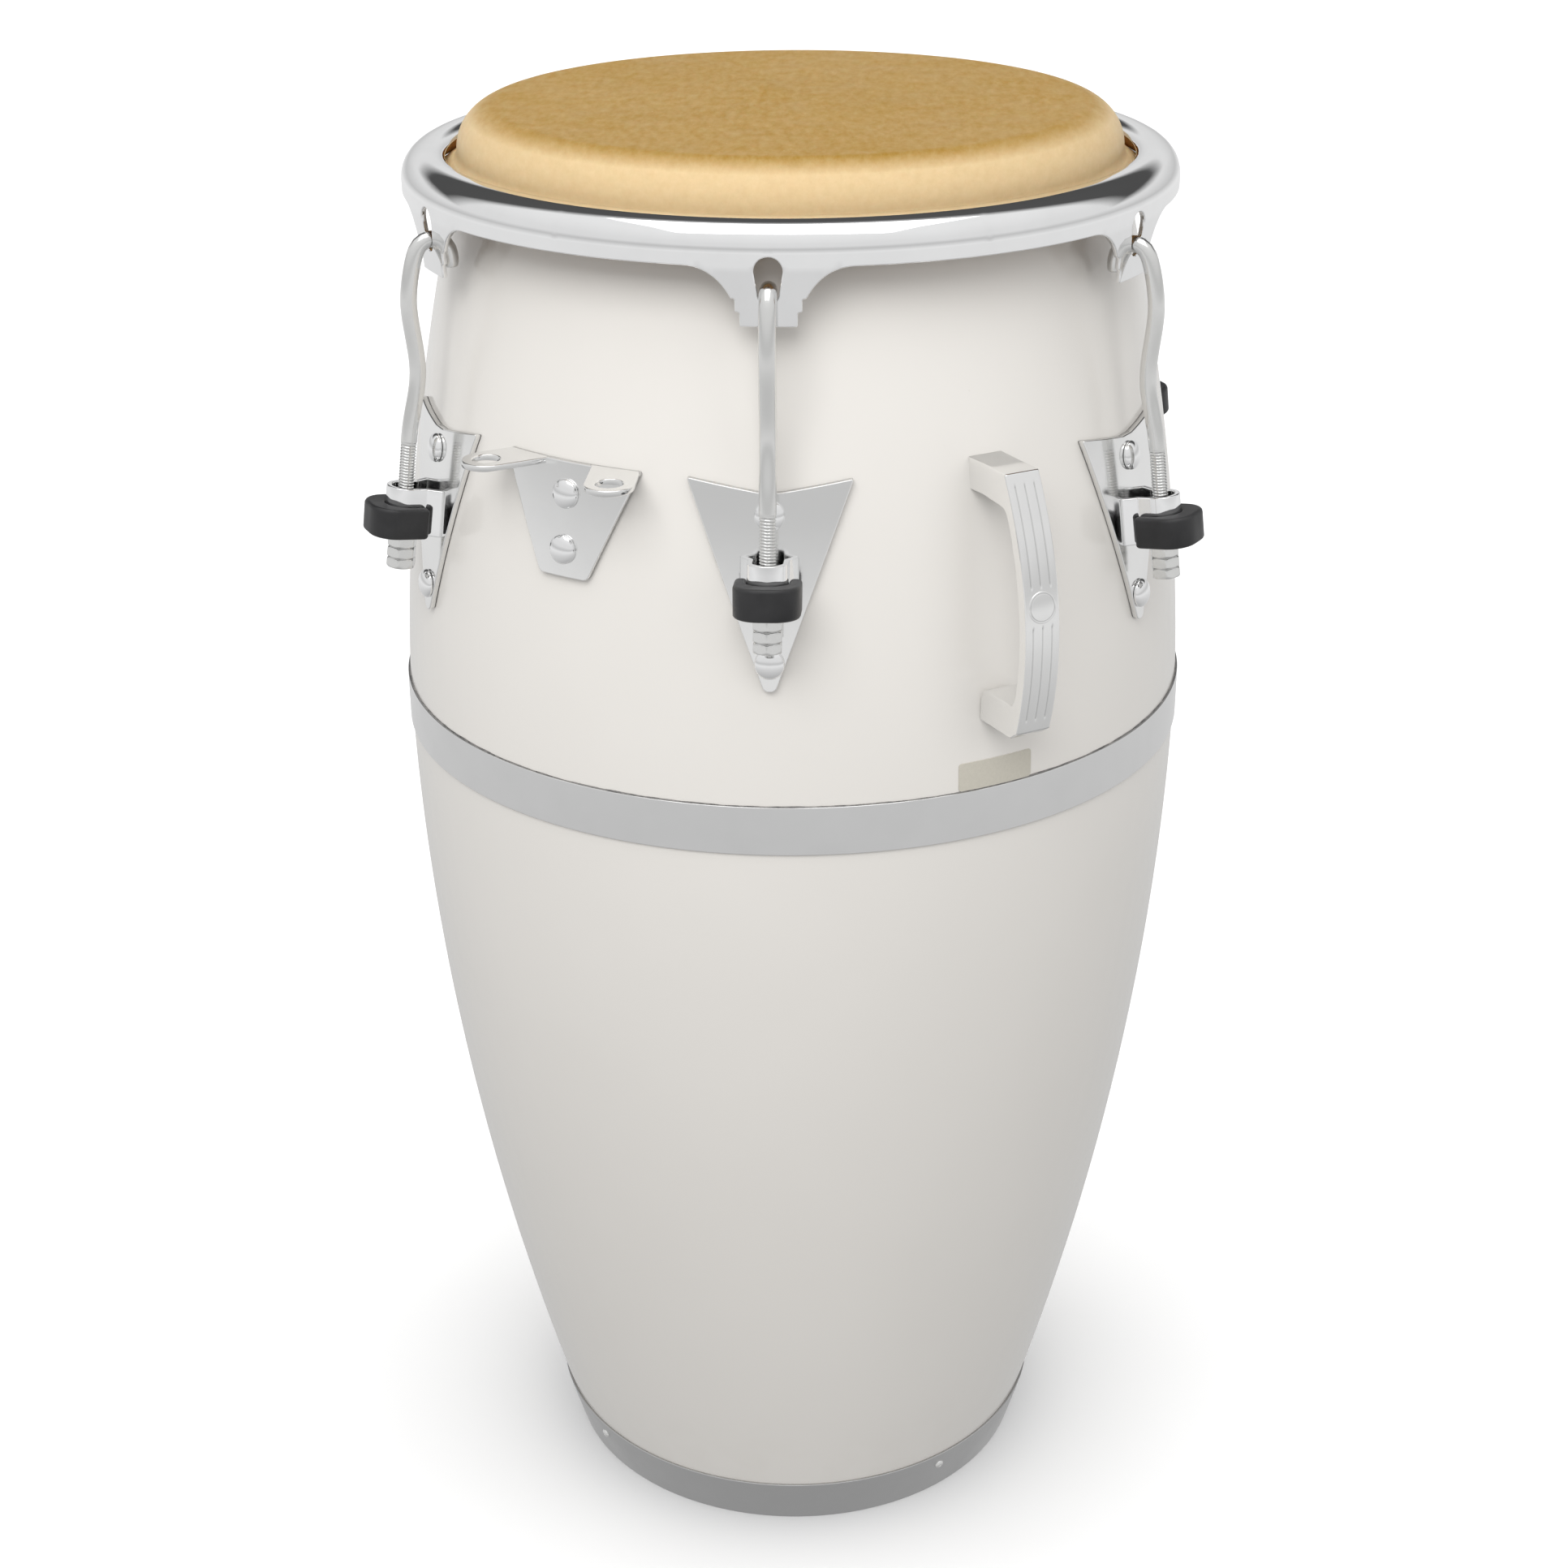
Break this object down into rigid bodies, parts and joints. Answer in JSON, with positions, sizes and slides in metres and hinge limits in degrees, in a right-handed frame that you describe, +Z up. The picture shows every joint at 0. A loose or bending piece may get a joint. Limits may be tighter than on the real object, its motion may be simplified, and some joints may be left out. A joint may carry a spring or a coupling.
{
  "type": "conga drum",
  "caption": "Tall barrel-shaped hand drum with a white fibreglass shell, a rawhide head, and a chrome rim pulled down by hooked rods and nuts on side plates.",
  "frame": {"origin": "on the drum's axis at floor level", "axes": "+Z up along the drum's axis; -Y towards lug 1, which lies between the stand bracket (on -X) and the carrying handle (on +X)"},
  "size_m": [0.4066, 0.46, 0.762],
  "materials": {
    "white_gloss": "gloss white gel coat over fibreglass",
    "rawhide": "smooth translucent rawhide, pale at the turned edge",
    "chrome": "mirror-polished chrome plate",
    "zinc": "bright plated steel, slightly clouded",
    "satin_chrome": "satin chrome on a die casting",
    "band_steel": "plain bright steel strip, faintly brushed",
    "rubber": "black moulded rubber, dull",
    "label_card": "pale beige satin label",
    "hoop_steel": "dull steel ring wrapped in rawhide"
  },
  "bodies": {
    "shell": {"lower_shell": "white_gloss", "upper_shell": "white_gloss", "belly_band": "band_steel", "foot_band": "band_steel", "foot_screw_1": "zinc", "foot_screw_2": "zinc", "foot_screw_3": "zinc", "foot_screw_4": "zinc", "blank_label": "label_card", "head_skin": "rawhide", "carry_handle": "satin_chrome", "handle_screw_upper": "zinc", "handle_screw_lower": "zinc", "stand_bracket": "chrome", "bracket_bolt_upper": "chrome", "bracket_bolt_lower": "chrome", "side_plate_1": "chrome", "rubber_bumper_1": "rubber", "nut_washer_1": "zinc", "upper_bolt_1": "chrome", "lower_bolt_1": "chrome", "side_plate_2": "chrome", "rubber_bumper_2": "rubber", "nut_washer_2": "zinc", "upper_bolt_2": "chrome", "lower_bolt_2": "chrome", "side_plate_3": "chrome", "rubber_bumper_3": "rubber", "nut_washer_3": "zinc", "upper_bolt_3": "chrome", "lower_bolt_3": "chrome", "side_plate_4": "chrome", "rubber_bumper_4": "rubber", "nut_washer_4": "zinc", "upper_bolt_4": "chrome", "lower_bolt_4": "chrome", "side_plate_5": "chrome", "rubber_bumper_5": "rubber", "nut_washer_5": "zinc", "upper_bolt_5": "chrome", "lower_bolt_5": "chrome", "side_plate_6": "chrome", "rubber_bumper_6": "rubber", "nut_washer_6": "zinc", "upper_bolt_6": "chrome", "lower_bolt_6": "chrome"},
    "rim": {"tension_rim": "chrome", "flesh_hoop": "hoop_steel"},
    "rod_1": {"tuning_rod_1": "zinc"},
    "nut_1": {"tuning_nut_1": "zinc"},
    "rod_2": {"tuning_rod_2": "zinc"},
    "nut_2": {"tuning_nut_2": "zinc"},
    "rod_3": {"tuning_rod_3": "zinc"},
    "nut_3": {"tuning_nut_3": "zinc"},
    "rod_4": {"tuning_rod_4": "zinc"},
    "nut_4": {"tuning_nut_4": "zinc"},
    "rod_5": {"tuning_rod_5": "zinc"},
    "nut_5": {"tuning_nut_5": "zinc"},
    "rod_6": {"tuning_rod_6": "zinc"},
    "nut_6": {"tuning_nut_6": "zinc"}
  },
  "joints": [
    {"name": "rim_travel", "type": "slide", "parent": "shell", "child": "rim", "axis": [0, 0, 1], "range_m": [-0.008, 0.01]},
    {"name": "rod_slide_1", "type": "slide", "parent": "shell", "child": "rod_1", "axis": [0, 0.138, 0.9904], "range_m": [-0.0082, 0.0102]},
    {"name": "nut_turn_1", "type": "hinge", "parent": "shell", "child": "nut_1", "pos_m": [0, -0.21303, 0.5633], "axis": [0, 0.138, 0.9904], "range_deg": [-2640, 2120]},
    {"name": "rod_slide_2", "type": "slide", "parent": "shell", "child": "rod_2", "axis": [-0.1195, 0.069, 0.9904], "range_m": [-0.0082, 0.0102]},
    {"name": "nut_turn_2", "type": "hinge", "parent": "shell", "child": "nut_2", "pos_m": [0.18449, -0.10651, 0.5633], "axis": [-0.1195, 0.069, 0.9904], "range_deg": [-2640, 2120]},
    {"name": "rod_slide_3", "type": "slide", "parent": "shell", "child": "rod_3", "axis": [-0.1195, -0.069, 0.9904], "range_m": [-0.0082, 0.0102]},
    {"name": "nut_turn_3", "type": "hinge", "parent": "shell", "child": "nut_3", "pos_m": [0.18449, 0.10651, 0.5633], "axis": [-0.1195, -0.069, 0.9904], "range_deg": [-2640, 2120]},
    {"name": "rod_slide_4", "type": "slide", "parent": "shell", "child": "rod_4", "axis": [0, -0.138, 0.9904], "range_m": [-0.0082, 0.0102]},
    {"name": "nut_turn_4", "type": "hinge", "parent": "shell", "child": "nut_4", "pos_m": [0, 0.21303, 0.5633], "axis": [0, -0.138, 0.9904], "range_deg": [-2640, 2120]},
    {"name": "rod_slide_5", "type": "slide", "parent": "shell", "child": "rod_5", "axis": [0.1195, -0.069, 0.9904], "range_m": [-0.0082, 0.0102]},
    {"name": "nut_turn_5", "type": "hinge", "parent": "shell", "child": "nut_5", "pos_m": [-0.18449, 0.10651, 0.5633], "axis": [0.1195, -0.069, 0.9904], "range_deg": [-2640, 2120]},
    {"name": "rod_slide_6", "type": "slide", "parent": "shell", "child": "rod_6", "axis": [0.1195, 0.069, 0.9904], "range_m": [-0.0082, 0.0102]},
    {"name": "nut_turn_6", "type": "hinge", "parent": "shell", "child": "nut_6", "pos_m": [-0.18449, -0.10651, 0.5633], "axis": [0.1195, 0.069, 0.9904], "range_deg": [-2640, 2120]}
  ],
  "couplings": [
    {"joint": "rod_slide_1", "follows": "rim_travel", "ratio": 1.0097},
    {"joint": "nut_turn_1", "follows": "rim_travel", "rad_per_m": -4495.7},
    {"joint": "rod_slide_2", "follows": "rim_travel", "ratio": 1.0097},
    {"joint": "nut_turn_2", "follows": "rim_travel", "rad_per_m": -4495.7},
    {"joint": "rod_slide_3", "follows": "rim_travel", "ratio": 1.0097},
    {"joint": "nut_turn_3", "follows": "rim_travel", "rad_per_m": -4495.7},
    {"joint": "rod_slide_4", "follows": "rim_travel", "ratio": 1.0097},
    {"joint": "nut_turn_4", "follows": "rim_travel", "rad_per_m": -4495.7},
    {"joint": "rod_slide_5", "follows": "rim_travel", "ratio": 1.0097},
    {"joint": "nut_turn_5", "follows": "rim_travel", "rad_per_m": -4495.7},
    {"joint": "rod_slide_6", "follows": "rim_travel", "ratio": 1.0097},
    {"joint": "nut_turn_6", "follows": "rim_travel", "rad_per_m": -4495.7}
  ]
}
